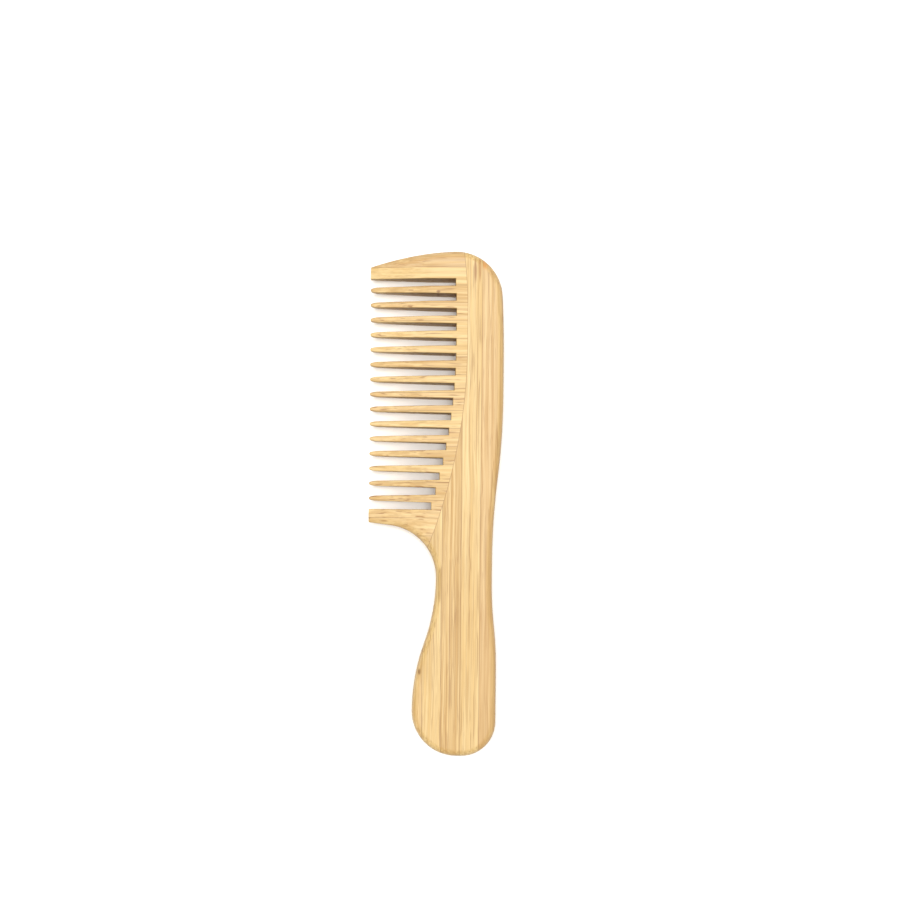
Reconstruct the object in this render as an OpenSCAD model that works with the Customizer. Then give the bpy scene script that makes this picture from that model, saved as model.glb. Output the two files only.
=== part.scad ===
// Wide tooth comb with a handle, glued up from bamboo strips and cut to shape from the board.
// It lies flat. +Z goes up through its thickness, +Y runs from the handle to the head, and the
// teeth point to -X. The origin is under the middle of the comb, on the surface it lies on.
// The tooth board's strips run across the comb and the handle's strips run along it. The tooth
// strips end in a tongue, which is glued into a groove along the curved side of the spine.

/* [Overall] */
// Length from the end of the handle to the top of the head
comb_length = 192; // [160:1:232]
// Width of the head from its back edge to the tips of the teeth
head_width = 51; // [42.5:0.5:62]
// Thickness of the board at the spine and the handle
thickness = 10; // [8:0.1:12]
// Radius that the long edges of the board are rounded to
edge_round = 2.8; // [1:0.1:3.5]

/* [Teeth] */
// Number of free teeth between the two guard teeth
tooth_count = 15; // [12:1:17]
// Distance from one tooth to the next
tooth_pitch = 5.67; // [4.7:0.01:6.8]
// Width of a tooth at its root
tooth_root_width = 3.05; // [2.5:0.05:3.7]
// Width of a tooth where its point begins
tooth_point_width = 2; // [1.6:0.05:2.4]
// Length of a tooth's point
tooth_point_length = 3.2; // [2:0.1:5]
// Width of the rounded end of a tooth
tooth_end_width = 1.3; // [1:0.05:1.6]
// Thickness of the board at the tips of the teeth
tip_thickness = 2.8; // [2:0.1:4]
// Width of wood left between the roots of the gaps and the spine's joint
root_land = 4.3; // [3:0.1:6]
// Distance from the top of the head to the middle of the first free tooth
first_tooth = 14.8; // [12.4:0.1:17.8]
// Width of the lower guard tooth at its end
lower_guard = 5.1; // [3.5:0.1:6.2]
// Slope of the underside of the lower guard tooth, in degrees
lower_guard_slope = 7; // [3:0.5:10]

/* [Head] */
// Width of the spine from the tooth board's joint to the back edge
spine_width = 13.9; // [12:0.1:16.7]
// Radius of the crown at the top of the back edge
crown_radius = 17.6; // [13:0.1:20]
// Height of the guard tooth's corner below the top of the head
top_slope_drop = 6; // [4:0.1:7.2]
// Radius of the top edge from the crown to the upper guard tooth
top_edge_radius = 120; // [100:1:150]
// Radius of the back edge behind the first teeth
back_bow_radius = 440; // [350:1:530]
// Distance from the top of the head to where the back edge runs straight
back_bow_height = 41; // [34:0.5:49]
// Radius of the curved part of the tooth board's joint beside the lower teeth
joint_radius = 211; // [180:1:254]
// Distance from the top of the head to where the joint starts to curve beside the lower teeth
joint_curve_start = 36; // [30:0.5:43]
// Radius of the joint where it leans over at the top of the head
joint_top_radius = 180; // [150:1:220]
// Distance from the top of the head to where the joint starts to lean over
joint_top_start = 24; // [20:0.5:28]

/* [Handle] */
// Width of the handle at its widest
handle_width = 31.9; // [27:0.1:36]
// Width of the neck at its narrowest
neck_width = 21.3; // [17.7:0.1:24]
// Distance that the back of the waist lies in from the head's back edge
waist_inset = 3.75; // [3.1:0.05:4.5]
// Distance that the back of the handle lies in from the head's back edge
handle_inset = 1.9; // [1.5:0.05:2.3]
// Radius of the concave heel between the lower guard tooth and the neck
heel_radius = 20; // [16:0.5:24]
// Length of the back edge's curve from the head into the waist
shoulder_run = 64; // [52:0.5:70]
// Length of the straight part of the waist
waist_length = 8; // [4:0.5:9.5]
// Length of the back edge's curve from the waist into the handle
grip_run = 32; // [26:0.5:36]
// Radius of the handle's end on the back side
handle_back_radius = 13; // [10:0.1:14]
// Length of the straight stretch in the handle's end, before it turns up on the tooth side
handle_end_flat = 1.9; // [1:0.1:4]

/* [Strips] */
// Width of one lengthwise strip of the handle
handle_strip_width = 7.2; // [6.5:0.1:8]
// Width of the outermost lengthwise strip, at the back edge
back_strip_width = 8.4; // [7:0.1:10]
// Distance that the spine strip reaches past the straight part of the tooth board's joint
spine_strip_lap = 1.7; // [1.4:0.1:2]
// Distance from the joint at the lower guard tooth to where the heel strip's glue line ends
heel_strip_reach = 8; // [6.7:0.1:9.6]
// Thickness of the tongue on the tooth strips
tongue_thickness = 3; // [2:0.1:3.6]
// Length that the tongue stands into the spine
tongue_length = 3; // [2:0.1:3.6]
// Glue space round the tongue in its groove
tongue_clearance = 0.1; // [0.05:0.01:0.2]

/* [Hidden] */
$fn = 240;
FAR = 2 * comb_length;
// Facets of a quarter turn of the board's rounded edge
edge_steps = 3;
// Height that the rounded board stands over both faces before they are planed flat
skim = 0.03;
// Margin that a cutter reaches past what it cuts
PAST = 1;

// Sides of the comb
top_y = comb_length / 2;
end_y = -comb_length / 2;
back_x = head_width / 2;
tip_x = -head_width / 2;
waist_x = back_x - waist_inset;
neck_x = waist_x - neck_width;
handle_back_x = back_x - handle_inset;
handle_front_x = handle_back_x - handle_width;
handle_end_radius = handle_width - handle_back_radius - handle_end_flat;

// Teeth, gaps and guards
gap_count = tooth_count + 1;
gap_width = tooth_pitch - tooth_root_width;
function tooth_y(i) = top_y - first_tooth - (i - 1) * tooth_pitch;
function gap_y(i) = tooth_y(i) + tooth_pitch / 2;
lower_guard_y = gap_y(gap_count) - gap_width / 2;
lower_guard_end_y = lower_guard_y - lower_guard;

// The heel's centre, from which its arc touches the lower guard's underside and the neck
heel_x = neck_x - heel_radius;
neck_y = lower_guard_end_y - (heel_x - tip_x) * tan(lower_guard_slope)
    - heel_radius / cos(lower_guard_slope);

// The joint between the tooth board and the spine
joint_x = back_x - spine_width;
joint_curve_y = top_y - joint_curve_start;
joint_top_y = top_y - joint_top_start;
function joint_at(y) = y > joint_top_y
    ? joint_x - joint_top_radius + sqrt(pow(joint_top_radius, 2) - pow(y - joint_top_y, 2))
    : y > joint_curve_y
    ? joint_x
    : joint_x - joint_radius + sqrt(pow(joint_radius, 2) - pow(y - joint_curve_y, 2));

// Five tooth strips cover six teeth, so no glue line runs along the side of a tooth
tooth_strip_width = tooth_pitch * 6 / 5;
glue_line_offset = tooth_pitch * 0.3;
function glue_y(k) = tooth_y(1) + glue_line_offset + (1 - k) * tooth_strip_width;
tooth_strips = floor((glue_y(0) - lower_guard_y) / tooth_strip_width) + 1;

// Glue lines between the lengthwise strips, counted from the back edge. The second one runs
// just inside the joint's straight part.
function handle_line_x(k) = k == 0
    ? back_x - back_strip_width
    : joint_x - spine_strip_lap - (k - 1) * handle_strip_width;

// The heel strip's glue line ends where the heel's arc comes near enough to the joint
heel_line_x = joint_at(lower_guard_end_y) - heel_strip_reach;
heel_line_y = neck_y + sqrt(pow(heel_radius, 2) - pow(heel_line_x - heel_x, 2));

// Glue lines of the tongue's two ends
tongue_top_y = glue_y(0);
tongue_low_y = glue_y(tooth_strips);

function two_digits(n) = n < 10 ? str("0", n) : str(n);
TOOTH_NODES = [for (k = [1:tooth_strips]) str("tooth_strip_", two_digits(k))];

// Radius of the two arcs that carry an edge sideways by step over a length of run
function sway_radius(step, run) = (run * run + step * step) / (4 * step);

shoulder_r = sway_radius(waist_inset, shoulder_run);
grip_step = waist_inset - handle_inset;
grip_r = sway_radius(grip_step, grip_run);
flare_step = neck_x - handle_front_x;
flare_run = neck_y - end_y - handle_end_radius;
flare_r = sway_radius(flare_step, flare_run);

waist_top_y = neck_y + waist_length * 0.75;
waist_low_y = waist_top_y - waist_length;
bow_y = top_y - back_bow_height;

// The crown touches the bowed back edge and the long arc of the top edge
crown_y = top_y - crown_radius;
crown_angle = asin((crown_y - bow_y) / (back_bow_radius - crown_radius));
crown_x = back_x - back_bow_radius + (back_bow_radius - crown_radius) * cos(crown_angle);
top_reach = top_edge_radius - crown_radius;
corner_dx = tip_x - crown_x;
corner_dy = top_y - top_slope_drop - crown_y;
corner_distance = norm([corner_dx, corner_dy]);
top_lean = acos((pow(corner_distance, 2) + pow(top_reach, 2) - pow(top_edge_radius, 2))
    / (2 * top_reach * corner_distance)) - atan2(-corner_dx, -corner_dy);
top_centre = [crown_x + top_reach * sin(top_lean), crown_y - top_reach * cos(top_lean)];

// The top edge and the lower guard's underside run on past the tips, where the board is cut off
run_past = 4;
guard_start = [
    tip_x - run_past,
    lower_guard_end_y + run_past * tan(lower_guard_slope)
];

// The outline's two sides from the handle's end up to the head, as arcs of [centre, radius, lowest
// y, highest y, 1 or -1 for a full or a hollow arc]. Straight stretches lie between the arcs.
grip_y = waist_low_y - grip_run;
shoulder_y = waist_top_y + shoulder_run;
end_arc_y = end_y + handle_end_radius;
heel_top_y = neck_y + heel_radius * cos(lower_guard_slope);
crown_low_y = bow_y + back_bow_radius * sin(crown_angle);
BACK_SIDE = [
    [[handle_back_x - handle_back_radius, end_y + handle_back_radius],
        handle_back_radius, end_y, end_y + handle_back_radius, 1],
    [[handle_back_x - grip_r, grip_y], grip_r, grip_y, grip_y + grip_run / 2, 1],
    [[waist_x + grip_r, waist_low_y], grip_r, waist_low_y - grip_run / 2, waist_low_y, -1],
    [[waist_x + shoulder_r, waist_top_y],
        shoulder_r, waist_top_y, waist_top_y + shoulder_run / 2, -1],
    [[back_x - shoulder_r, shoulder_y], shoulder_r, shoulder_y - shoulder_run / 2, shoulder_y, 1],
    [[back_x - back_bow_radius, bow_y], back_bow_radius, bow_y, crown_low_y, 1],
    [[crown_x, crown_y], crown_radius, crown_low_y, top_y, 1]
];
TOOTH_SIDE = [
    [[handle_front_x + handle_end_radius, end_arc_y], handle_end_radius, end_y, end_arc_y, 1],
    [[handle_front_x + flare_r, end_arc_y], flare_r, end_arc_y, end_arc_y + flare_run / 2, 1],
    [[neck_x - flare_r, neck_y], flare_r, neck_y - flare_run / 2, neck_y, -1],
    [[heel_x, neck_y], heel_radius, neck_y, heel_top_y, -1],
    [top_centre, top_edge_radius, top_centre[1], top_y, 1]
];

// Point of a side at height y with its outward normal, as [x, y, nx, ny]. The side is 1 for the
// back and -1 for the teeth's side. Where no arc runs, the side goes straight up.
function side_point(arcs, side, y) =
    let (
        here = [for (arc = arcs) if (y >= arc[2] && y <= arc[3]) arc],
        below = [for (arc = arcs) if (arc[3] < y) arc]
    )
    len(here) > 0
    ? let (arc = here[0], ny = (y - arc[0][1]) / arc[1], nx = sqrt(max(0, 1 - ny * ny)))
        [arc[0][0] + side * arc[4] * arc[1] * nx, y, side * nx, arc[4] * ny]
    : let (arc = below[len(below) - 1], point = side_point([arc], side, arc[3]))
        [point[0], y, side, 0];

// Heights of the outline's stations. Both sides have a point at each one.
function steps(from, to, count) = [for (i = [0:count - 1]) from + (to - from) * i / count];
END_Y = [for (a = steps(0, 90, 9)) end_y + handle_end_radius * (1 - cos(a))];
HANDLE_Y = steps(end_arc_y, neck_y, 9);
HEEL_Y = [for (a = steps(0, 90 - lower_guard_slope, 8)) neck_y + heel_radius * sin(a)];
CROWN_Y = [for (a = steps(0, 90, 10)) crown_y + crown_radius * sin(a)];
LOW_Y = concat(END_Y, HANDLE_Y, HEEL_Y, [heel_top_y]);
HIGH_Y = concat(steps(guard_start[1], crown_y, 9), CROWN_Y);

// The cut-off side past the tips, or the top edge where the board is no longer wide enough
function tooth_point(y) =
    let (edge = side_point([TOOTH_SIDE[4]], -1, y))
    edge[0] > guard_start[0] ? edge : [guard_start[0], y, -1, 0];
BACK_POINTS = [for (y = concat(LOW_Y, HIGH_Y)) side_point(BACK_SIDE, 1, y)];
TOOTH_POINTS = concat(
    [for (y = LOW_Y) side_point(TOOTH_SIDE, -1, y)],
    [[guard_start[0], guard_start[1], -sin(lower_guard_slope), -cos(lower_guard_slope)]],
    [for (i = [1:len(HIGH_Y) - 1]) tooth_point(HIGH_Y[i])]
);
OUTLINE = concat(
    BACK_POINTS,
    [[crown_x, top_y, 0, 1]],
    [for (i = [len(TOOTH_POINTS) - 1:-1:0]) TOOTH_POINTS[i]]
);

// Thickness lost from each face for each millimetre from the neck's line towards the tips
wedge_slope = (thickness - tip_thickness) / 2 / (neck_x - tip_x);

CAP = [0.92, 0.76, 0.53];
PALE = [0.97, 0.86, 0.65];
STRAW = [0.94, 0.81, 0.59];
HONEY = [0.93, 0.78, 0.54];

// The whole board cut to its outline with its long edges rounded, before its faces are planed
// flat and before the gaps and the joint
module rounded_board() {
    count = len(OUTLINE);
    rails = len(BACK_POINTS);
    quarter = [for (a = [0:90 / edge_steps:90]) [edge_round * (1 - cos(a)), edge_round * sin(a)]];
    levels = concat(
        [for (i = [edge_steps:-1:0]) [quarter[i][0], edge_round - quarter[i][1] - skim]],
        [for (q = quarter) [q[0], thickness - edge_round + q[1] + skim]]
    );
    last = len(levels) - 1;
    points = [for (level = levels, p = OUTLINE)
        [p[0] - level[0] * p[2], p[1] - level[0] * p[3], level[1]]];
    walls = [for (k = [0:last - 1], i = [0:count - 1])
        let (j = (i + 1) % count, low = k * count, high = low + count)
        each [[low + i, high + i, high + j], [low + i, high + j, low + j]]];
    // Each face is a ladder of rungs between the back's points and the tooth side's points
    rungs = [for (i = [0:rails - 1])
        let (a = i, b = i + 1, c = count - 2 - i, d = count - 1 - i)
        each i < rails - 1 ? [[a, b, c], [a, c, d]] : [[a, b, d]]];
    lid = [for (face = rungs) [for (i = [2, 1, 0]) face[i] + last * count]];
    polyhedron(points, concat(walls, rungs, lid));
}

// What is planed off both faces, from the neck's line to the tips
module wedge_waste() {
    outer_x = tip_x - 2 * run_past;
    outer_rise = wedge_slope * (neck_x - outer_x);
    for (face = [0, 1])
        translate([0, top_y + PAST, face * thickness])
            mirror([0, 0, face])
                rotate([90, 0, 0])
                    linear_extrude(top_y + PAST - neck_y)
                        polygon([
                            [neck_x, 0],
                            [neck_x, -PAST],
                            [outer_x, -PAST],
                            [outer_x, outer_rise]
                        ]);
}

// Plan of the tooth board's side of the joint, moved out by some distance
module board_plan(out = 0) {
    translate([joint_x - joint_top_radius, joint_top_y])
        intersection() {
            circle(joint_top_radius + out);
            translate([0, -PAST])
                square(FAR);
        }
    translate([joint_x - FAR + out, joint_curve_y])
        square([FAR, joint_top_y - joint_curve_y]);
    translate([joint_x - joint_radius, joint_curve_y])
        circle(joint_radius + out);
}

// Plan of one side of a gap, from its root to past the tips. Beside a guard it is straight.
module half_gap(root_x, guard) {
    side = tooth_pitch / 2;
    nose_x = tip_x + tooth_end_width / 2;
    if (guard)
        translate([tip_x - PAST, -gap_width / 4])
            square([root_x - tip_x + PAST, gap_width * 3 / 4]);
    else
        difference() {
            polygon([
                [root_x, -gap_width / 4],
                [root_x, gap_width / 2],
                [tip_x + tooth_point_length, side - tooth_point_width / 2],
                [nose_x, side - tooth_end_width / 2],
                [nose_x, side],
                [tip_x - PAST, side],
                [tip_x - PAST, -gap_width / 4]
            ]);
            translate([nose_x, side])
                circle(tooth_end_width / 2, $fn = 32);
        }
}

module gap_plan(i) {
    root_x = joint_at(gap_y(i)) - root_land;
    translate([0, gap_y(i)]) {
        half_gap(root_x, i == 1);
        mirror([0, 1])
            half_gap(root_x, i == gap_count);
    }
}

// A straight strip across the comb between two heights
module cross_band(low_y, high_y) {
    translate([-FAR / 2, low_y])
        square([FAR, high_y - low_y]);
}

// One strip of the tooth board, with its share of the gaps and its tongue
module tooth_strip(k) {
    low_y = glue_y(k);
    high_y = glue_y(k - 1);
    touching = [for (i = [1:gap_count])
        if (gap_y(i) - tooth_pitch / 2 < high_y && gap_y(i) + tooth_pitch / 2 > low_y) i];
    color(k % 2 ? PALE : STRAW) {
        difference() {
            linear_extrude(thickness)
                difference() {
                    intersection() {
                        translate([tip_x, low_y])
                            square([head_width, tooth_strip_width]);
                        board_plan();
                    }
                    for (i = touching)
                        gap_plan(i);
                }
            wedge_waste();
        }
        translate([0, 0, (thickness - tongue_thickness) / 2])
            linear_extrude(tongue_thickness)
                intersection() {
                    translate([joint_at(low_y) - root_land / 2, low_y])
                        square([head_width, tooth_strip_width]);
                    board_plan(tongue_length);
                }
    }
}

// A strip at either end of the tooth board, which takes in part of the comb's outline
module end_strip(low_y, high_y) {
    difference() {
        intersection() {
            rounded_board();
            linear_extrude(thickness)
                intersection() {
                    translate([tip_x, low_y])
                        square([head_width, high_y - low_y]);
                    board_plan();
                }
        }
        wedge_waste();
    }
}

module cap_strip() {
    color(CAP)
        end_strip(glue_y(0), top_y + PAST);
}

module lower_guard_strip() {
    color(PALE)
        end_strip(heel_line_y, glue_y(tooth_strips));
}

module heel_strip() {
    color(STRAW)
        end_strip(neck_y, heel_line_y);
}

// The groove that the tooth strips' tongues are glued into
module tongue_groove() {
    depth = tongue_thickness + 2 * tongue_clearance;
    translate([0, 0, (thickness - depth) / 2])
        linear_extrude(depth)
            intersection() {
                cross_band(tongue_low_y - tongue_clearance, tongue_top_y + tongue_clearance);
                board_plan(tongue_length + tongue_clearance);
            }
}

// A lengthwise strip of the handle or spine, fitted against the tooth board. Beside the upper
// teeth, where the narrower strips have run out, its left side may lie further over.
module long_strip(left_x, right_x, high_y, upper_left_x) {
    difference() {
        intersection() {
            rounded_board();
            linear_extrude(thickness) {
                translate([left_x, end_y - PAST])
                    square([right_x - left_x, high_y - end_y + PAST]);
                if (high_y > joint_curve_y)
                    translate([upper_left_x, joint_curve_y])
                        square([right_x - upper_left_x, high_y - joint_curve_y]);
            }
        }
        translate([0, 0, -PAST])
            linear_extrude(thickness + 2 * PAST)
                board_plan();
        tongue_groove();
        wedge_waste();
    }
}

module back_strip() {
    color(PALE)
        long_strip(handle_line_x(0), back_x + PAST, top_y + PAST, handle_line_x(0));
}

// Beside the upper teeth the spine strip fills the space up to the joint
module spine_strip() {
    color(STRAW)
        long_strip(handle_line_x(1), handle_line_x(0), top_y + PAST, tip_x);
}

module handle_core_strip() {
    color(HONEY)
        long_strip(handle_line_x(2), handle_line_x(1), joint_curve_y);
}

module handle_inner_strip() {
    color(STRAW)
        long_strip(handle_line_x(3), handle_line_x(2), joint_curve_y);
}

module handle_edge_strip() {
    color(HONEY)
        long_strip(handle_front_x - PAST, handle_line_x(3), joint_curve_y);
}

for (k = [1:tooth_strips])
    tooth_strip(k);
cap_strip();
lower_guard_strip();
heel_strip();
back_strip();
spine_strip();
handle_core_strip();
handle_inner_strip();
handle_edge_strip();
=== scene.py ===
import math

import bmesh
import bpy
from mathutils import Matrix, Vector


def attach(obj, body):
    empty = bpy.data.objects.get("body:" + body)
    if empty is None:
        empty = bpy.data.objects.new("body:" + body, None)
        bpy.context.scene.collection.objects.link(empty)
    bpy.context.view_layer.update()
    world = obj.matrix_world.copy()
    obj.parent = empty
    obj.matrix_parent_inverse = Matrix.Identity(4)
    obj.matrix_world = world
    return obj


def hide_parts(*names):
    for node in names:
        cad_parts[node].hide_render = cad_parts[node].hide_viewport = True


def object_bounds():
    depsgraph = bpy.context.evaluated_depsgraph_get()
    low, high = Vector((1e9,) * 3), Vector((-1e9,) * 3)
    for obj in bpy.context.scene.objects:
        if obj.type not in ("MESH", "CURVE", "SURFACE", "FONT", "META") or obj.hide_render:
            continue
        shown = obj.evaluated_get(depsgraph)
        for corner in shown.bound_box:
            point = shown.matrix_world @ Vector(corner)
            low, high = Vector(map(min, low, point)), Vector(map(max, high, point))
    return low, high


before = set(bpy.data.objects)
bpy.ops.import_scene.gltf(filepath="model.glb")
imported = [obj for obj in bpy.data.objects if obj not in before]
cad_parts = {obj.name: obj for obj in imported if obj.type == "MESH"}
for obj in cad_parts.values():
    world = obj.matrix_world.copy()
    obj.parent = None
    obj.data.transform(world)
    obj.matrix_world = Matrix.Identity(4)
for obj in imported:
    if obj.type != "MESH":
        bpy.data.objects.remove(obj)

cad_low, cad_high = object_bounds()


# ---- The board, cut to the comb's outline ----
# Bamboo is split and planed into strips, which are glued edge to edge into one board: lengthwise
# strips for the handle and the spine, and cross strips for the teeth. A router then cuts the
# outline, and a saw the gaps, so the whole comb is drawn as one board here and parted later.
MM = 0.001
THICKNESS = cad_high.z - cad_low.z
MID_Z = (cad_high.z + cad_low.z) / 2
TOP_Y = cad_high.y
END_Y = cad_low.y
BACK_X = cad_high.x
TIP_X = cad_low.x

TEETH = 15
GAPS = TEETH + 1
TOOTH_PITCH = 5.67 * MM
TOOTH_ROOT = 3.05 * MM
TOOTH_POINT = 2 * MM
TOOTH_POINT_LENGTH = 3.2 * MM
TOOTH_END = 1.3 * MM
FIRST_TOOTH = 14.8 * MM
GAP = TOOTH_PITCH - TOOTH_ROOT
ROOT_LAND = 4.3 * MM
LOWER_GUARD = 5.1 * MM
GUARD_SLOPE = math.radians(7)
OVERRUN = 4 * MM

NECK_X = BACK_X - 25.05 * MM
WAIST_X = BACK_X - 3.75 * MM
WAIST = 8 * MM
WAIST_ABOVE_NECK = 0.75
HANDLE_BACK_X = BACK_X - 1.9 * MM
HANDLE_FRONT_X = HANDLE_BACK_X - 31.9 * MM
HEEL_RADIUS = 20 * MM
SHOULDER_RUN = 64 * MM
GRIP_RUN = 32 * MM
END_RADIUS = 17 * MM
END_BACK_RADIUS = 13 * MM
CROWN_RADIUS = 17.6 * MM
CORNER_DROP = 6 * MM
TOP_RADIUS = 120 * MM
BOW_RADIUS = 440 * MM
BOW_Y = TOP_Y - 41 * MM

# The seam between the tooth board and the spine: a lean at the top, a straight and a long curve
SEAM_X = BACK_X - 13.9 * MM
SEAM_TOP_RADIUS = 180 * MM
SEAM_TOP_Y = TOP_Y - 24 * MM
SEAM_LOW_RADIUS = 211 * MM
SEAM_LOW_Y = TOP_Y - 36 * MM


def seam_x(y):
    if y > SEAM_TOP_Y:
        return SEAM_X - SEAM_TOP_RADIUS + math.sqrt(SEAM_TOP_RADIUS**2 - (y - SEAM_TOP_Y) ** 2)
    if y > SEAM_LOW_Y:
        return SEAM_X
    return SEAM_X - SEAM_LOW_RADIUS + math.sqrt(SEAM_LOW_RADIUS**2 - (y - SEAM_LOW_Y) ** 2)


def tooth_y(i):
    return TOP_Y - FIRST_TOOTH - (i - 1) * TOOTH_PITCH


def gap_y(i):
    return tooth_y(i) + TOOTH_PITCH / 2


def root_x(i):
    return seam_x(gap_y(i)) - ROOT_LAND


def only(piece):
    """Makes this piece the only one selected, and the one that is worked on."""
    bpy.ops.object.select_all(action="DESELECT")
    piece.select_set(True)
    bpy.context.view_layer.objects.active = piece


def pick(piece, kind, wanted):
    """Selects those vertices, edges or faces of the piece in hand that are wanted."""
    bpy.ops.mesh.select_mode(type=kind)
    bpy.ops.mesh.select_all(action="DESELECT")
    shape = bmesh.from_edit_mesh(piece.data)
    for part in {"VERT": shape.verts, "EDGE": shape.edges, "FACE": shape.faces}[kind]:
        part.select = wanted(part)
    shape.select_flush_mode()
    bmesh.update_edit_mesh(piece.data)


ARC_STEP = 1.5 * MM
LEAST_ARC_STEPS = 6
CIRCLE_STEPS = 64
NEAR = 0.001 * MM


def pencil(piece):
    """Where the drawn line has got to: its one selected vertex."""
    return next(v.co.copy() for v in bmesh.from_edit_mesh(piece.data).verts if v.select)


def draw_line(piece, x, y):
    here = pencil(piece)
    move = {"value": (x - here.x, y - here.y, 0)}
    bpy.ops.mesh.extrude_vertices_move(TRANSFORM_OT_translate=move)


def draw_arc(piece, x, y, turn):
    """Sweeps the line round the centre (x, y), counterclockwise where the turn is positive."""
    here = pencil(piece)
    sweep = abs(turn) * math.dist((x, y), here[:2])
    steps = max(LEAST_ARC_STEPS, round(sweep / ARC_STEP))
    bpy.ops.mesh.spin(steps=steps, angle=-turn, center=(x, y, here.z), axis=(0, 0, 1))


def start_drawing(name, x, y, radius):
    """A quarter circle from the left of its centre to below it, where the pencil stands."""
    bpy.ops.mesh.primitive_circle_add(
        vertices=CIRCLE_STEPS, radius=radius, location=(x, y, cad_low.z)
    )
    piece = bpy.context.object
    piece.name = name
    bpy.ops.object.transform_apply()
    bpy.ops.object.mode_set(mode="EDIT")
    pick(piece, "VERT", lambda v: v.co.x > x + NEAR or v.co.y > y + NEAR)
    bpy.ops.mesh.delete(type="VERT")
    pick(piece, "VERT", lambda v: v.co.y < y - radius + NEAR)
    return piece


def fill_and_raise(height):
    """Closes the drawn line, fills it in and draws it up into a board."""
    bpy.ops.mesh.select_all(action="SELECT")
    bpy.ops.mesh.remove_doubles()
    bpy.ops.mesh.edge_face_add()
    bpy.ops.mesh.extrude_region_move(TRANSFORM_OT_translate={"value": (0, 0, height)})
    bpy.ops.mesh.select_all(action="SELECT")
    bpy.ops.mesh.normals_make_consistent(inside=False)


def sway(step, run):
    """Radius and angle of the two equal arcs that carry an edge sideways over a run."""
    radius = (run * run + step * step) / (4 * step)
    return radius, math.asin(run / (2 * radius))


guard_low_y = gap_y(GAPS) - GAP / 2 - LOWER_GUARD
heel_x = NECK_X - HEEL_RADIUS
neck_y = (
    guard_low_y
    - (heel_x - TIP_X) * math.tan(GUARD_SLOPE)
    - HEEL_RADIUS / math.cos(GUARD_SLOPE)
)
waist_top_y = neck_y + WAIST * WAIST_ABOVE_NECK
waist_low_y = waist_top_y - WAIST
crown_y = TOP_Y - CROWN_RADIUS
bow_angle = math.asin((crown_y - BOW_Y) / (BOW_RADIUS - CROWN_RADIUS))
crown_x = BACK_X - BOW_RADIUS + (BOW_RADIUS - CROWN_RADIUS) * math.cos(bow_angle)
corner = (TIP_X - crown_x, TOP_Y - CORNER_DROP - crown_y)
corner_reach = math.hypot(*corner)
top_reach = TOP_RADIUS - CROWN_RADIUS
top_lean = math.acos(
    (corner_reach**2 + top_reach**2 - TOP_RADIUS**2) / (2 * top_reach * corner_reach)
) - math.atan2(-corner[0], -corner[1])
top_x = crown_x + top_reach * math.sin(top_lean)
top_low_y = crown_y - top_reach * math.cos(top_lean)
overrun_x = TIP_X - OVERRUN

# Round the handle's end, up the back to the crown and over the top edge, past the tips
end_x = HANDLE_FRONT_X + END_RADIUS
end_y = END_Y + END_RADIUS
board = start_drawing("board", end_x, end_y, END_RADIUS)
draw_line(board, HANDLE_BACK_X - END_BACK_RADIUS, END_Y)
draw_arc(board, HANDLE_BACK_X - END_BACK_RADIUS, END_Y + END_BACK_RADIUS, math.radians(90))
grip_radius, grip_turn = sway(HANDLE_BACK_X - WAIST_X, GRIP_RUN)
draw_line(board, HANDLE_BACK_X, waist_low_y - GRIP_RUN)
draw_arc(board, HANDLE_BACK_X - grip_radius, waist_low_y - GRIP_RUN, grip_turn)
draw_arc(board, WAIST_X + grip_radius, waist_low_y, -grip_turn)
draw_line(board, WAIST_X, waist_top_y)
shoulder_radius, shoulder_turn = sway(BACK_X - WAIST_X, SHOULDER_RUN)
draw_arc(board, WAIST_X + shoulder_radius, waist_top_y, -shoulder_turn)
draw_arc(board, BACK_X - shoulder_radius, waist_top_y + SHOULDER_RUN, shoulder_turn)
draw_line(board, BACK_X, BOW_Y)
draw_arc(board, BACK_X - BOW_RADIUS, BOW_Y, bow_angle)
draw_arc(board, crown_x, crown_y, math.radians(90) + top_lean - bow_angle)
top_turn = math.acos((overrun_x - top_x) / TOP_RADIUS) - math.radians(90) - top_lean
draw_arc(board, top_x, top_low_y, top_turn)

# In and out of the gaps, with a tooth between each two, from the top guard to the lower one
nose_x = TIP_X + TOOTH_END / 2
point_x = TIP_X + TOOTH_POINT_LENGTH
point_run = point_x - nose_x
point_step = (TOOTH_POINT - TOOTH_END) / 2
point_radius = (point_run**2 + point_step**2) / (2 * point_step)
point_turn = math.asin(point_run / point_radius)
draw_line(board, overrun_x, gap_y(1) + GAP / 2)
for i in range(1, GAPS + 1):
    draw_line(board, root_x(i), gap_y(i) + GAP / 2)
    draw_line(board, root_x(i), gap_y(i) - GAP / 2)
    if i < GAPS:
        draw_line(board, point_x, tooth_y(i) + TOOTH_POINT / 2)
        draw_arc(board, point_x, tooth_y(i) + TOOTH_POINT / 2 - point_radius, point_turn)
        draw_arc(board, nose_x, tooth_y(i), math.radians(180))
        draw_arc(board, point_x, tooth_y(i) - TOOTH_POINT / 2 + point_radius, point_turn)
draw_line(board, overrun_x, gap_y(GAPS) - GAP / 2)

# Along the lower guard's underside, round the heel to the neck and down the handle's front
draw_line(board, overrun_x, guard_low_y + OVERRUN * math.tan(GUARD_SLOPE))
heel_turn = math.radians(90) - GUARD_SLOPE
heel_start_x = heel_x + HEEL_RADIUS * math.cos(heel_turn)
heel_start_y = neck_y + HEEL_RADIUS * math.sin(heel_turn)
draw_line(board, heel_start_x, heel_start_y)
draw_arc(board, heel_x, neck_y, -heel_turn)
flare_radius, flare_turn = sway(NECK_X - HANDLE_FRONT_X, neck_y - end_y)
draw_arc(board, NECK_X - flare_radius, neck_y, -flare_turn)
draw_arc(board, HANDLE_FRONT_X + flare_radius, end_y, flare_turn)
fill_and_raise(THICKNESS)


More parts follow.
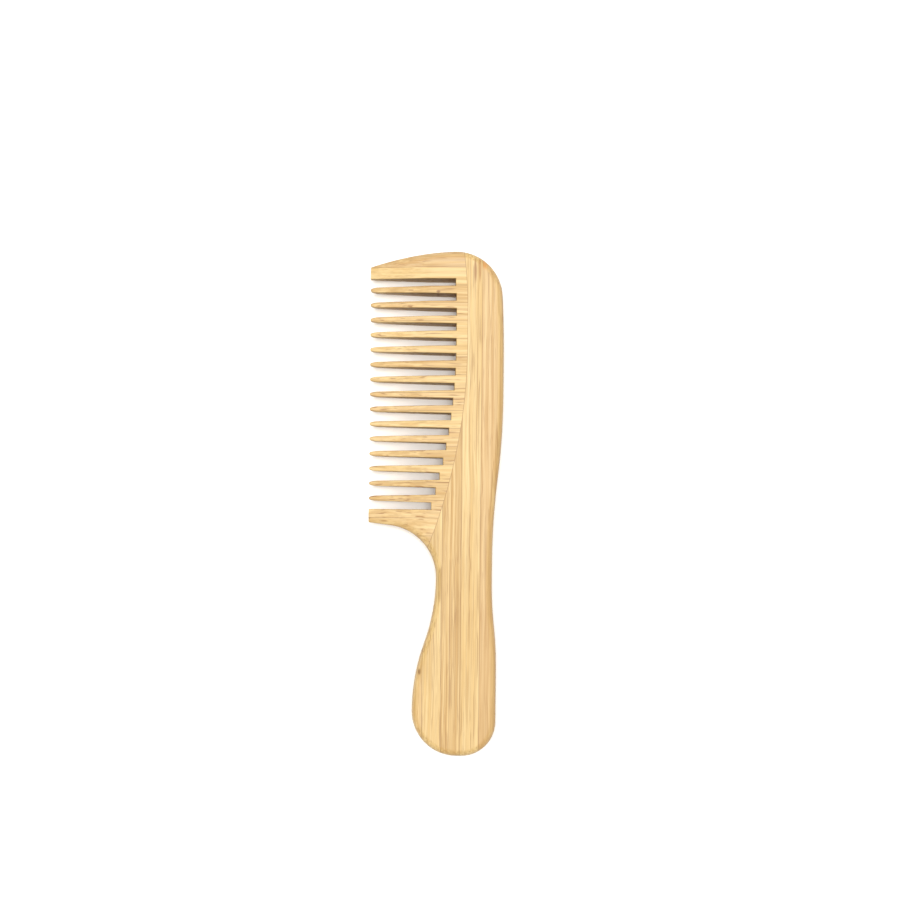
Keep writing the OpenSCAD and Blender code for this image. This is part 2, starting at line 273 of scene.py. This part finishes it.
# ---- Edges of the board ----
# A round-over cutter takes the long edges off on both faces, all round the outline. The gaps'
# edges aren't reached by it.
EDGE_ROUND = 2.8 * MM
ROUND_STEPS = 7
CLOSE = 0.01 * MM
gaps_top_y = gap_y(1) + GAP / 2 + CLOSE
gaps_low_y = gap_y(GAPS) - GAP / 2 - CLOSE


def upright(edge):
    first, second = (v.co for v in edge.verts)
    return abs(first.z - second.z) > math.dist(first[:2], second[:2])


def by_a_gap(edge):
    return all(
        gaps_low_y < v.co.y < gaps_top_y and v.co.x < seam_x(v.co.y) - ROOT_LAND / 2
        for v in edge.verts
    )


def at_overrun(edge):
    return all(v.co.x < overrun_x + CLOSE for v in edge.verts)


pick(board, "EDGE", lambda e: not (upright(e) or by_a_gap(e) or at_overrun(e)))
bpy.ops.mesh.bevel(offset=EDGE_ROUND, segments=ROUND_STEPS, profile=0.5)


# ---- The head, planed to a wedge ----
# Both faces of the head are sanded down in a straight slope from the neck's line to the tips, so
# the teeth slip into the hair. The slope starts in a soft blend, not in a crease.
TIP_THICKNESS = 2.8 * MM
BLEND = 6 * MM
LINES = 12
SNAP = 0.001 * MM
ROOM_FOR_EDGE = 0.6 * MM

for line in range(LINES + 1):
    x = NECK_X - line * 2 * BLEND / LINES
    if all(abs(x - root_x(i)) > ROOM_FOR_EDGE for i in range(1, GAPS + 1)):
        bpy.ops.mesh.select_all(action="SELECT")
        bpy.ops.mesh.bisect(plane_co=(x, 0, 0), plane_no=(1, 0, 0), threshold=SNAP)
bpy.ops.object.mode_set(mode="OBJECT")

head = board.vertex_groups.new(name="head")
head.add([v.index for v in board.data.vertices if v.co.y > neck_y - CLOSE], 1, "REPLACE")

FORM_STEP = 2 * MM
form_low_x = overrun_x - 3 * FORM_STEP
form_points = math.ceil((NECK_X - form_low_x) / FORM_STEP) + 4
form_length = (form_points - 1) * FORM_STEP
bpy.ops.object.add(
    type="LATTICE", location=(form_low_x + form_length / 2, (TOP_Y + END_Y) / 2, MID_Z)
)
form = bpy.context.object
form.scale = (form_length, 2 * (TOP_Y - END_Y), THICKNESS)
form.data.points_u = form_points
form.data.points_v = 2
form.data.points_w = 2
form.data.interpolation_type_u = "KEY_BSPLINE"
form.data.interpolation_type_v = "KEY_LINEAR"
form.data.interpolation_type_w = "KEY_LINEAR"
slope_x = NECK_X - BLEND / 2
slope = (1 - TIP_THICKNESS / THICKNESS) / (slope_x - TIP_X)
for point in form.data.points:
    x = form_low_x + (point.co.x + 0.5) * form_length
    point.co_deform.z = point.co.z * (1 - slope * max(0, slope_x - x))
only(board)
wedge = board.modifiers.new("wedge", "LATTICE")
wedge.object = form
wedge.vertex_group = "head"
bpy.ops.object.modifier_apply(modifier="wedge")
board.vertex_groups.clear()
bpy.data.objects.remove(form)


def saw_off(place, side, axis):
    """Keeps what lies on one side of a plane across X or Y, and closes the cut."""
    at = (place, 0, 0) if axis == "X" else (0, place, 0)
    normal = (side, 0, 0) if axis == "X" else (0, side, 0)
    bpy.ops.mesh.select_all(action="SELECT")
    bpy.ops.mesh.bisect(
        plane_co=at, plane_no=normal, clear_inner=True, use_fill=True, threshold=SNAP
    )


# The guards' ends are sawn off square at the tips
bpy.ops.object.mode_set(mode="EDIT")
saw_off(TIP_X, 1, "X")
bpy.ops.object.mode_set(mode="OBJECT")


# ---- The seam ----
# The tooth board and the spine are cut to the same curve and glued, before the comb is cut out.
# The comb is parted along that curve again here, and then along its glue lines into strips.
seam_top = math.asin((TOP_Y + OVERRUN - SEAM_TOP_Y) / SEAM_TOP_RADIUS)
seam_low = math.asin((SEAM_LOW_Y - neck_y + 2 * OVERRUN) / SEAM_LOW_RADIUS)


def draw_tooth_side():
    """A thick plate over all that lies on the teeth's side of the seam."""
    far_x = 2 * TIP_X
    low_y = SEAM_LOW_Y - SEAM_LOW_RADIUS * math.sin(seam_low)
    bpy.ops.object.select_all(action="DESELECT")
    plate = start_drawing("tooth_side", far_x + OVERRUN, low_y + OVERRUN, OVERRUN)
    low_seam_x = SEAM_X - SEAM_LOW_RADIUS * (1 - math.cos(seam_low))
    draw_line(plate, low_seam_x, low_y)
    draw_arc(plate, SEAM_X - SEAM_LOW_RADIUS, SEAM_LOW_Y, seam_low)
    draw_line(plate, SEAM_X, SEAM_TOP_Y)
    draw_arc(plate, SEAM_X - SEAM_TOP_RADIUS, SEAM_TOP_Y, seam_top)
    draw_line(plate, far_x, TOP_Y + OVERRUN)
    fill_and_raise(2 * THICKNESS)
    bpy.ops.transform.translate(value=(0, 0, -THICKNESS / 2))
    bpy.ops.object.mode_set(mode="OBJECT")
    return plate


def copy_of(piece, name):
    only(piece)
    bpy.ops.object.duplicate()
    bpy.context.object.name = name
    return bpy.context.object


def cut_with(piece, tool, how):
    only(piece)
    cut = piece.modifiers.new("cut", "BOOLEAN")
    cut.operation = how
    cut.solver = "EXACT"
    cut.object = tool
    bpy.ops.object.modifier_apply(modifier="cut")


tooth_side = draw_tooth_side()
tooth_board = copy_of(board, "tooth_board")
cut_with(tooth_board, tooth_side, "INTERSECT")
handle_board = copy_of(board, "handle_board")
cut_with(handle_board, tooth_side, "DIFFERENCE")
bpy.data.objects.remove(tooth_side)
bpy.data.objects.remove(board)


# ---- Edges of the teeth ----
# The edges along the gaps are only broken with abrasive on both faces, so that the teeth keep
# their section and don't catch the hair.
TOOTH_EDGE = 0.34 * MM
BREAK_STEPS = 3
SHARP = math.radians(50)
SMOOTH_BELOW = math.radians(32)


def sharp(edge):
    return edge.calc_face_angle(0) > SHARP


def at_tip(edge):
    return all(v.co.x < TIP_X + CLOSE for v in edge.verts)


only(tooth_board)
bpy.ops.object.mode_set(mode="EDIT")
pick(tooth_board, "EDGE", lambda e: by_a_gap(e) and sharp(e) and not upright(e) and not at_tip(e))
bpy.ops.mesh.bevel(offset=TOOTH_EDGE, segments=BREAK_STEPS, profile=0.5)
bpy.ops.object.mode_set(mode="OBJECT")


def part_off(source, name, axis, low, high):
    """The strip of a board between two glue lines across X or Y, as a piece of its own."""
    strip = copy_of(source, name)
    bpy.ops.object.mode_set(mode="EDIT")
    if low is not None:
        saw_off(low, 1, axis)
    if high is not None:
        saw_off(high, -1, axis)
    bpy.ops.object.mode_set(mode="OBJECT")
    only(strip)
    bpy.ops.object.shade_smooth_by_angle(angle=SMOOTH_BELOW)
    even = strip.modifiers.new("even", "WEIGHTED_NORMAL")
    even.keep_sharp = True
    bpy.ops.object.modifier_apply(modifier="even")
    return strip


# ---- Bamboo ----
# Split bamboo is a pale straw yellow with long, straight fibres, and finer, darker bundles that
# show as short brown dashes. It is sanded smooth and wiped with a thin oil, so it has a soft
# satin sheen, and each strip comes from another cane and has a tone of its own.
STRETCH = {"X": 0.035, "Y": 0.016}
WANDER = 1.2 * MM
WANDER_SCALE = 38
GLUE_LINE = 0.2 * MM
GRAIN_DEPTH = 0.04 * MM
GRAIN_STRENGTH = 0.25
GLOSS = 0.35
SMOOTHEST = 0.44
ROUGHEST = 0.56


def rgb(red, green, blue):
    """A colour as it is seen, from 0 to 255, as the light-linear one that a shader takes."""
    return [
        c / 255 / 12.92 if c <= 10 else ((c / 255 + 0.055) / 1.055) ** 2.4
        for c in (red, green, blue)
    ] + [1]


PORE = rgb(128, 92, 52)
DARK_THREAD = rgb(163, 130, 76)
PALE_THREAD = rgb(212, 186, 132)
DASH = rgb(140, 100, 56)
LONG_LINE = rgb(134, 96, 52)
GLUE = rgb(128, 92, 52)
# Brown of the painted shade on upright walls and the steep part of the rounded edges
PAINTED_WALL_SHADE = rgb(140, 102, 58)


def bamboo(name, fibres, light, deep, seed, glue=(), dashes=0.5, lines=0.0, marks=()):
    """Bamboo with its fibres along X or Y.

    light and deep are its two tones, and seed picks the piece of cane. glue are the places of
    its glue lines across the fibres. dashes and lines say how strong the short and the long
    brown bundles are. marks are its soft-edged blemishes: each is a place, its two reaches, how
    strong it is and its colour.
    """
    material = bpy.data.materials.new(name)
    material.use_nodes = True
    tree = material.node_tree
    shader = tree.nodes["Principled BSDF"]

    def node(kind, **settings):
        made = tree.nodes.new("ShaderNode" + kind)
        for setting, value in settings.items():
            setattr(made, setting, value)
        return made

    def feed(socket, value):
        if isinstance(value, bpy.types.NodeSocket):
            tree.links.new(value, socket)
        else:
            socket.default_value = value

    def calc(operation, *values):
        made = node("Math", operation=operation)
        for socket, value in zip(made.inputs, values):
            feed(socket, value)
        return made.outputs[0]

    def mix(share, first, second):
        made = node("Mix", data_type="RGBA")
        feed(made.inputs[0], share)
        feed(made.inputs[6], first)
        feed(made.inputs[7], second)
        return made.outputs[2]

    def band(value, start, end, to_start=0.0, to_end=1.0):
        made = node("MapRange", interpolation_type="SMOOTHSTEP")
        for socket, number in zip(made.inputs, (value, start, end, to_start, to_end)):
            feed(socket, number)
        return made.outputs[0]

    def noise(vector, scale, detail, roughness=0.5):
        made = node("TexNoise")
        feed(made.inputs["Vector"], vector)
        feed(made.inputs["Scale"], scale)
        feed(made.inputs["Detail"], detail)
        feed(made.inputs["Roughness"], roughness)
        return made.outputs["Fac"]

    def along(stretch):
        made = node("Mapping")
        feed(made.inputs["Vector"], bent)
        made.inputs["Location"].default_value = (0.11 * seed, 0.17 * seed, 0.05 * seed)
        made.inputs["Scale"].default_value = (
            (stretch, 1, 1) if fibres == "X" else (1, stretch, 1)
        )
        return made.outputs["Vector"]

    place = node("TexCoord").outputs["Object"]

    # The fibres wander a little from straight
    drift = node("TexNoise")
    feed(drift.inputs["Vector"], place)
    feed(drift.inputs["Scale"], WANDER_SCALE)
    feed(drift.inputs["Detail"], 1)
    centred = node("VectorMath", operation="SUBTRACT")
    feed(centred.inputs[0], drift.outputs["Color"])
    feed(centred.inputs[1], (0.5, 0.5, 0.5))
    scaled = node("VectorMath", operation="SCALE")
    feed(scaled.inputs[0], centred.outputs[0])
    feed(scaled.inputs["Scale"], WANDER)
    moved = node("VectorMath", operation="ADD")
    feed(moved.inputs[0], place)
    feed(moved.inputs[1], scaled.outputs[0])
    bent = moved.outputs[0]

    # Each layer of the grain is drawn out along the fibres, the long ones most of all
    streaks = noise(along(STRETCH[fibres]), scale=820, detail=5, roughness=0.62)
    fine = noise(along(STRETCH[fibres] * 0.8), scale=2600, detail=3, roughness=0.6)
    clouds = noise(along(0.3), scale=60, detail=2)
    bundles = noise(along(0.07), scale=1500, detail=2, roughness=0.45)
    threads = noise(along(0.006), scale=1050, detail=2)

    tone = mix(band(streaks, 0.34, 0.66), light, deep)
    tone = mix(band(clouds, 0.35, 0.75, 0, 0.35), tone, deep)
    tone = mix(band(fine, 0.3, 0.7, 0.2, 0), tone, PORE)
    tone = mix(band(threads, 0.55, 0.66, 0, 0.45), tone, DARK_THREAD)
    tone = mix(band(threads, 0.45, 0.36, 0, 0.4), tone, PALE_THREAD)
    tone = mix(band(bundles, 0.58, 0.7, 0, dashes), tone, DASH)

    if lines:
        long_lines = noise(along(0.004), scale=2900, detail=1)
        tone = mix(band(long_lines, 0.58, 0.66, 0, lines), tone, LONG_LINE)

    # Blemishes follow the fibres' wander, and the fine grain frays their edges
    grain_axes = node("SeparateXYZ")
    feed(grain_axes.inputs[0], bent)
    for mark_x, mark_y, reach_x, reach_y, strength, colour in marks:
        off_x = calc("DIVIDE", calc("SUBTRACT", grain_axes.outputs["X"], mark_x), reach_x)
        off_y = calc("DIVIDE", calc("SUBTRACT", grain_axes.outputs["Y"], mark_y), reach_y)
        off = calc("ADD", calc("MULTIPLY", off_x, off_x), calc("MULTIPLY", off_y, off_y))
        off = calc("ADD", calc("SQRT", off), calc("SUBTRACT", fine, 0.5))
        tone = mix(band(off, 0.35, 1.0, strength, 0), tone, colour)

    # Glue shows as a thin brown line where two strips meet, and round the curved seam
    axes = node("SeparateXYZ")
    feed(axes.inputs[0], place)
    x, y = axes.outputs["X"], axes.outputs["Y"]
    across = y if fibres == "X" else x
    above = calc("GREATER_THAN", y, SEAM_TOP_Y)
    change = calc("MULTIPLY", above, SEAM_TOP_RADIUS - SEAM_LOW_RADIUS)
    radius = calc("ADD", SEAM_LOW_RADIUS, change)
    nearest = calc("MINIMUM", calc("MAXIMUM", y, SEAM_LOW_Y), SEAM_TOP_Y)
    away = calc("SUBTRACT", y, nearest)
    chord = calc("SQRT", calc("SUBTRACT", calc("POWER", radius, 2), calc("MULTIPLY", away, away)))
    seam = calc("ADD", calc("SUBTRACT", SEAM_X, radius), chord)
    distance = calc("ABSOLUTE", calc("SUBTRACT", x, seam))
    for line in glue:
        distance = calc("MINIMUM", distance, calc("ABSOLUTE", calc("SUBTRACT", across, line)))
    glued = band(distance, 0, GLUE_LINE, 0.7, 0)
    tone = mix(glued, tone, GLUE)

    # Painted shade: faces that stand upright, the sawn and routed walls and the steep part of the
    # rounded edges, are painted browner the more they face sideways
    facing = node("SeparateXYZ")
    feed(facing.inputs[0], node("TexCoord").outputs["Normal"])
    flat = calc("ABSOLUTE", facing.outputs["Z"])
    tone = mix(band(flat, 0, 0.8, 0.4, 0), tone, PAINTED_WALL_SHADE)

    feed(shader.inputs["Base Color"], tone)
    feed(shader.inputs["Roughness"], band(streaks, 0.3, 0.7, SMOOTHEST, ROUGHEST))
    shader.inputs["Specular IOR Level"].default_value = GLOSS
    grain = node("Bump")
    grain.inputs["Strength"].default_value = GRAIN_STRENGTH
    grain.inputs["Distance"].default_value = GRAIN_DEPTH
    feed(grain.inputs["Height"], calc("SUBTRACT", fine, calc("MULTIPLY", bundles, 0.4)))
    feed(shader.inputs["Normal"], grain.outputs["Normal"])
    return material


def fit(strip, node_name, material):
    """Gives a strip its bamboo, and puts it in the place of its plain one."""
    strip.data.materials.clear()
    strip.data.materials.append(material)
    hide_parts(node_name)
    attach(strip, "root")


# ---- Cap strip ----
# The topmost cross strip, a darker one from lower down the cane. It makes the sloping top edge
# of the upper guard tooth and ends in a point at the tips.
STRIP = TOOTH_PITCH * 6 / 5
GLUE_OFFSET = TOOTH_PITCH * 0.3
CAP_TONES = (rgb(192, 163, 118), rgb(180, 143, 90))


def glue_y(k):
    return tooth_y(1) + GLUE_OFFSET + (1 - k) * STRIP


cap = part_off(tooth_board, "cap", "Y", glue_y(0), None)
fit(
    cap,
    "cap_strip",
    bamboo("cap_bamboo", "X", *CAP_TONES, seed=1, glue=[glue_y(0)]),
)


# ---- Tooth strips ----
# Fourteen narrow strips with their fibres along the teeth, which keeps the teeth from snapping.
# Five strips cover six teeth, so the glue lines run inside some teeth and meet gaps elsewhere.
TOOTH_STRIPS = 14
PALE = (rgb(202, 175, 121), rgb(193, 160, 102))
STRAW = (rgb(200, 171, 119), rgb(188, 153, 98))
HONEY = (rgb(193, 162, 106), rgb(179, 143, 87))
STRIP_TONES = [
    PALE, HONEY, STRAW, PALE, PALE, HONEY, PALE,
    STRAW, PALE, STRAW, HONEY, PALE, HONEY, STRAW,
]
STRIP_DASHES = [0.12, 0.9, 0.9, 0.8, 0.6, 0.7, 0.6, 0.9, 0.6, 0.8, 0.9, 0.6, 0.9, 0.9]
KNOT_STRIP = 2
KNOT = (SEAM_X - 11.3 * MM, tooth_y(1) - 0.8 * MM, 1 * MM, 0.7 * MM, 0.75, rgb(108, 68, 36))

for k, tones, dashes in zip(range(1, TOOTH_STRIPS + 1), STRIP_TONES, STRIP_DASHES):
    strip = part_off(tooth_board, f"teeth_{k:02d}", "Y", glue_y(k), glue_y(k - 1))
    seams = [glue_y(k), glue_y(k - 1)]
    blemishes = [KNOT] if k == KNOT_STRIP else []
    fit(
        strip,
        f"tooth_strip_{k:02d}",
        bamboo(
            f"tooth_bamboo_{k:02d}",
            "X",
            *tones,
            seed=10 + k,
            glue=seams,
            dashes=dashes,
            marks=blemishes,
        ),
    )


# ---- Lower guard strip ----
# The cross strip under the last gap. It makes most of the thick guard tooth at the foot of the
# comb, with a square sawn end.
HEEL_REACH = 8 * MM
SCORCH = (TIP_X, guard_low_y + 2.6 * MM, 1 * MM, 1.8 * MM, 0.9, rgb(88, 58, 32))
heel_line_x = seam_x(guard_low_y) - HEEL_REACH
heel_line_y = neck_y + math.sqrt(HEEL_RADIUS**2 - (heel_line_x - heel_x) ** 2)
guard = part_off(tooth_board, "lower_guard", "Y", heel_line_y, glue_y(TOOTH_STRIPS))
fit(
    guard,
    "lower_guard_strip",
    bamboo(
        "guard_bamboo",
        "X",
        *STRAW,
        seed=31,
        glue=[heel_line_y, glue_y(TOOTH_STRIPS)],
        dashes=0.7,
        marks=[SCORCH],
    ),
)


# ---- Heel strip ----
# The last cross strip, a small three-cornered piece in the hollow between the lower guard and
# the neck.
heel = part_off(tooth_board, "heel", "Y", None, heel_line_y)
fit(
    heel,
    "heel_strip",
    bamboo("heel_bamboo", "X", *STRAW, seed=33, glue=[heel_line_y], dashes=0.7),
)
bpy.data.objects.remove(tooth_board)


# ---- Back strip ----
# The outermost lengthwise strip, which runs the comb's whole length and makes its back edge.
BACK_STRIP = 8.4 * MM
SPINE_LAP = 1.7 * MM
HANDLE_STRIP = 7.2 * MM
back_line_x = BACK_X - BACK_STRIP
core_line_x = SEAM_X - SPINE_LAP
inner_line_x = core_line_x - HANDLE_STRIP
edge_line_x = inner_line_x - HANDLE_STRIP

BACK_TONES = (rgb(197, 167, 115), rgb(181, 145, 93))
HANDLE_SHADE = (BACK_X, neck_y - 50 * MM, 30 * MM, 62 * MM, 0.5, rgb(176, 140, 88))
CROWN_PATCH = (back_line_x + 0.6 * MM, TOP_Y - 5 * MM, 2.2 * MM, 3 * MM, 0.7, rgb(192, 136, 76))
back = part_off(handle_board, "back", "X", back_line_x, None)
fit(
    back,
    "back_strip",
    bamboo(
        "back_bamboo",
        "Y",
        *BACK_TONES,
        seed=41,
        glue=[back_line_x],
        dashes=0.3,
        lines=0.45,
        marks=[HANDLE_SHADE, CROWN_PATCH],
    ),
)


# ---- Spine strip ----
# The next strip in. Behind the teeth it is what the tooth board is glued to, and it goes on
# down the middle of the handle.
SPINE_STREAKS = [
    (SEAM_X + 2.6 * MM, TOP_Y - 7.5 * MM, 0.8 * MM, 6 * MM, 0.75, rgb(138, 96, 52)),
    (SEAM_X + 4.4 * MM, TOP_Y - 7 * MM, 0.6 * MM, 7 * MM, 0.7, rgb(146, 98, 50)),
]
spine = part_off(handle_board, "spine", "X", core_line_x, back_line_x)
fit(
    spine,
    "spine_strip",
    bamboo(
        "spine_bamboo",
        "Y",
        *PALE,
        seed=43,
        glue=[core_line_x, back_line_x],
        dashes=0.22,
        lines=0.55,
        marks=SPINE_STREAKS,
    ),
)


# ---- Handle core strip ----
# A darker lengthwise strip of bamboo, glued along the spine strip. It is cut to the seam's curve
# at the top, where the tooth board is glued on.
core = part_off(handle_board, "core", "X", inner_line_x, core_line_x)
fit(
    core,
    "handle_core_strip",
    bamboo(
        "core_bamboo",
        "Y",
        *HONEY,
        seed=47,
        glue=[inner_line_x, core_line_x],
        dashes=0.3,
        lines=0.55,
    ),
)


# ---- Handle inner strip ----
# A pale lengthwise strip of bamboo, glued between the core strip and the edge strip. It runs up
# into the neck and ends in a point at the seam.
inner = part_off(handle_board, "inner", "X", edge_line_x, inner_line_x)
fit(
    inner,
    "handle_inner_strip",
    bamboo(
        "inner_bamboo",
        "Y",
        *PALE,
        seed=53,
        glue=[edge_line_x, inner_line_x],
        dashes=0.25,
        lines=0.5,
    ),
)


# ---- Handle edge strip ----
# A narrow strip of bamboo, glued to the inner strip. It fills out the handle's front edge below
# the neck.
SPOT = (HANDLE_FRONT_X + 2.8 * MM, END_Y + 32 * MM, 0.8 * MM, 1.5 * MM, 0.7, rgb(116, 80, 44))
edge = part_off(handle_board, "edge", "X", None, edge_line_x)
fit(
    edge,
    "handle_edge_strip",
    bamboo("edge_bamboo", "Y", *STRAW, seed=59, glue=[edge_line_x], marks=[SPOT]),
)
bpy.data.objects.remove(handle_board)


# ---- Floor, light and camera ----
# The comb lies on a warm white table under a large, round soft light and a weak even one from all
# round, and is seen from straight above.
FLOOR_SIZE = 6
FLOOR_COLOUR = (0.9, 0.882, 0.85, 1)
FLOOR_ROUGHNESS = 0.9
FLOOR_GLOSS = 0.1
bpy.ops.mesh.primitive_plane_add(size=FLOOR_SIZE, location=(0, 0, cad_low.z))
floor = bpy.context.object
floor.name = "floor"
bpy.ops.object.transform_apply()
floor_material = bpy.data.materials.new("table")
floor_material.use_nodes = True
floor_shader = floor_material.node_tree.nodes["Principled BSDF"]
floor_shader.inputs["Base Color"].default_value = FLOOR_COLOUR
floor_shader.inputs["Roughness"].default_value = FLOOR_ROUGHNESS
floor_shader.inputs["Specular IOR Level"].default_value = FLOOR_GLOSS
floor.data.materials.append(floor_material)

EVEN_LIGHT = 0.35
world = bpy.data.worlds.new("studio")
bpy.context.scene.world = world
world.use_nodes = True
world.node_tree.nodes["Background"].inputs["Color"].default_value = (1, 1, 1, 1)
world.node_tree.nodes["Background"].inputs["Strength"].default_value = EVEN_LIGHT

SOFTBOX_X = -0.06
SOFTBOX_Y = 0.22
SOFTBOX_Z = 2
SOFTBOX_SIZE = 1.8
SOFTBOX_POWER = 67
bpy.ops.object.light_add(type="AREA", location=(SOFTBOX_X, SOFTBOX_Y, SOFTBOX_Z))
softbox = bpy.context.object
softbox.name = "softbox"
softbox.data.shape = "DISK"
softbox.data.size = SOFTBOX_SIZE
softbox.data.energy = SOFTBOX_POWER
softbox.rotation_euler = (
    -math.atan2(SOFTBOX_Y, SOFTBOX_Z),
    math.atan2(SOFTBOX_X, SOFTBOX_Z),
    0,
)

CAMERA_HEIGHT = 0.48
VIEW_WIDTH = 0.341
SENSOR = 36
SHIFT_X = 0.0161
SHIFT_Y = 0.0594
TILT = math.radians(0.55)
bpy.ops.object.camera_add(location=(0, 0, CAMERA_HEIGHT + THICKNESS))
camera = bpy.context.object
camera.name = "camera"
camera.data.sensor_width = SENSOR
camera.data.lens = SENSOR * CAMERA_HEIGHT / VIEW_WIDTH
camera.data.shift_x = SHIFT_X
camera.data.shift_y = SHIFT_Y
camera.rotation_euler = (0, 0, TILT)
bpy.context.scene.camera = camera
bpy.context.scene.view_settings.view_transform = "Standard"
